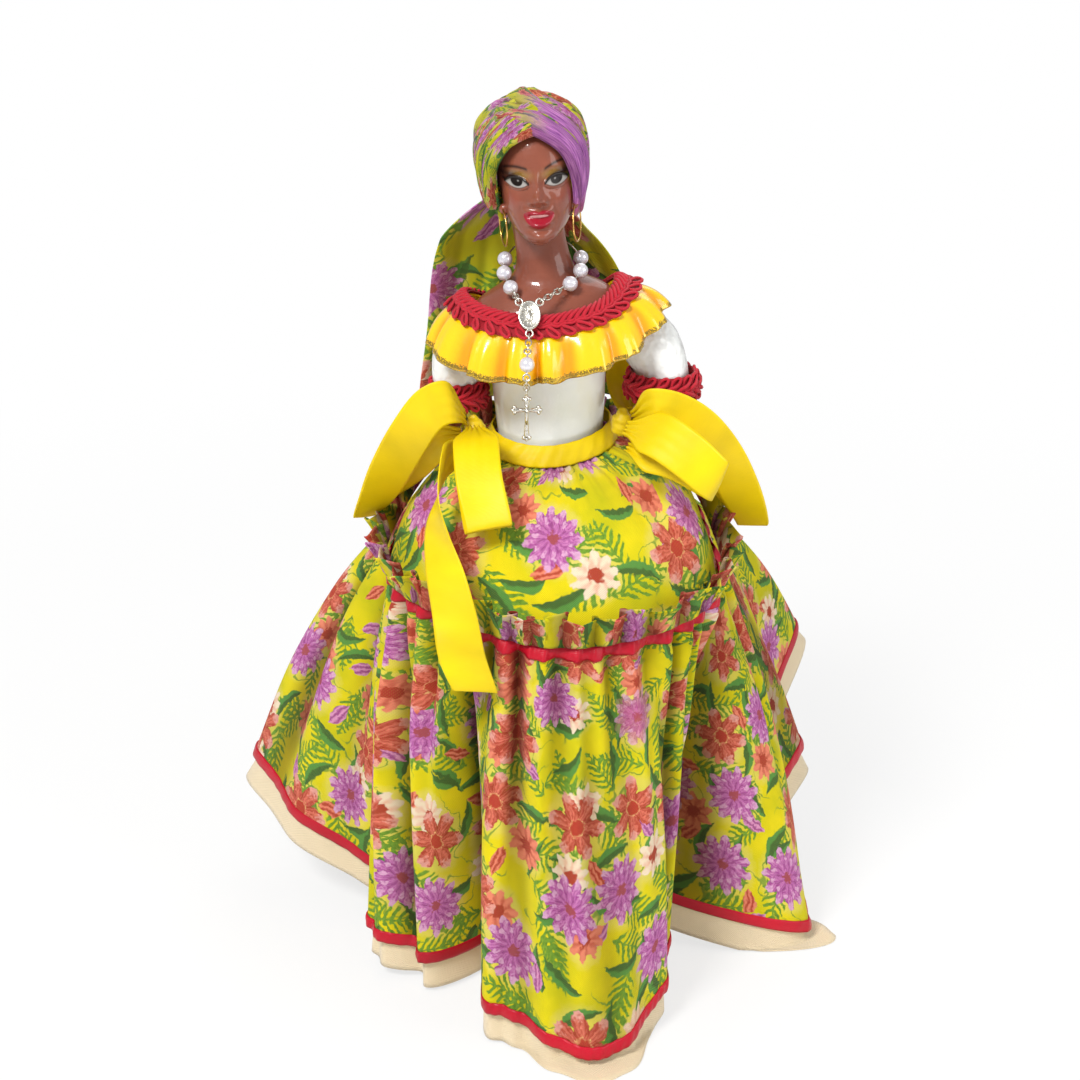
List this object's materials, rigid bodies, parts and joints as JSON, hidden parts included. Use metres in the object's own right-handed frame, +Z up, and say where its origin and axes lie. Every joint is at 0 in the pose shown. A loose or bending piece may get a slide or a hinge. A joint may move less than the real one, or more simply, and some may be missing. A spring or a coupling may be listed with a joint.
{
  "type": "costume doll",
  "caption": "Standing doll in a wound headscarf, pleated off-shoulder collar and gathered two-tier flowered skirt over a petticoat, with satin bows at the hips and a bead rosary that hangs free",
  "frame": {"origin": "centre of the flat underside of the base plate", "axes": "+Z is up along the doll's height, the doll faces -Y, and +X is the doll's left"},
  "size_m": [0.2341, 0.2126, 0.3282],
  "materials": {
    "cast_plaster": "matt",
    "varnished_skin": "varnished",
    "printed_cotton": "plain weave with a flower print",
    "scarf_cotton": "plain weave with a flower print",
    "tulle": "fine net",
    "red_ribbon": "satin",
    "yellow_satin": "satin",
    "white_lacquer": "semi-gloss",
    "yellow_lacquer": "gloss",
    "red_braid": "looped braid",
    "pearl": "pearlescent",
    "silver_metal": "polished",
    "gilt_wire": "polished"
  },
  "bodies": {
    "doll": {"base_plate": "cast_plaster", "lower_body": "cast_plaster", "skirt_yoke": "printed_cotton", "skirt_flounce": "printed_cotton", "petticoat": "tulle", "seam_ribbon": "red_ribbon", "hem_ribbon": "red_ribbon", "heading_ruffle": "printed_cotton", "waistband": "yellow_satin", "bodice": "white_lacquer", "head_and_shoulders": "varnished_skin", "collar_ruffle": "yellow_lacquer", "collar_braid": "red_braid", "sleeve_left": "white_lacquer", "cuff_braid_left": "red_braid", "forearm_left": "varnished_skin", "sleeve_right": "white_lacquer", "cuff_braid_right": "red_braid", "forearm_right": "varnished_skin", "turban": "scarf_cotton", "veil": "scarf_cotton", "bow_knot_left": "yellow_satin", "bow_side_loop_left": "yellow_satin", "bow_front_loop_left": "yellow_satin", "bow_short_end_left": "yellow_satin", "bow_knot_right": "yellow_satin", "bow_side_loop_right": "yellow_satin", "bow_front_loop_right": "yellow_satin", "bow_tail_right": "yellow_satin"},
    "earring_left": {"earring_left": "gilt_wire"},
    "earring_right": {"earring_right": "gilt_wire"},
    "rosary": {"neck_wire": "silver_metal", "neck_pearl_1": "pearl", "neck_pearl_2": "pearl", "neck_pearl_3": "pearl", "neck_pearl_4": "pearl", "neck_pearl_5": "pearl", "neck_pearl_6": "pearl", "neck_pearl_7": "pearl", "neck_pearl_8": "pearl", "medal": "silver_metal", "right_chain_link_1": "silver_metal", "right_chain_link_2": "silver_metal", "left_chain_link_1": "silver_metal", "left_chain_link_2": "silver_metal", "left_chain_link_3": "silver_metal", "left_chain_link_4": "silver_metal"},
    "drop": {"drop_link_1": "silver_metal", "drop_link_2": "silver_metal", "drop_link_3": "silver_metal", "drop_pin": "silver_metal", "drop_pearl": "pearl"},
    "cross": {"cross_link_1": "silver_metal", "cross_link_2": "silver_metal", "crucifix": "silver_metal"}
  },
  "joints": [
    {"name": "rosary_lift", "type": "hinge", "parent": "doll", "child": "rosary", "pos_m": [-0.0009, 0.014, 0.276], "axis": [-1, 0, 0], "range_deg": [0, 12]},
    {"name": "drop_swing", "type": "hinge", "parent": "rosary", "child": "drop", "pos_m": [-0.0055, -0.02953, 0.25091], "axis": [-1, 0, 0], "range_deg": [0, 35]},
    {"name": "crucifix_swing", "type": "hinge", "parent": "drop", "child": "cross", "pos_m": [-0.00635, -0.03759, 0.23782], "axis": [-1, 0, 0], "range_deg": [-15, 40]},
    {"name": "earring_left_swing", "type": "hinge", "parent": "doll", "child": "earring_left", "pos_m": [0.01035, -0.0082, 0.29186], "axis": [-0.2074, -0.9781, -0.0145], "range_deg": [-2, 40]},
    {"name": "earring_right_swing", "type": "hinge", "parent": "doll", "child": "earring_right", "pos_m": [-0.01479, -0.0082, 0.29011], "axis": [-0.2074, 0.9781, -0.0145], "range_deg": [-8, 40]}
  ]
}
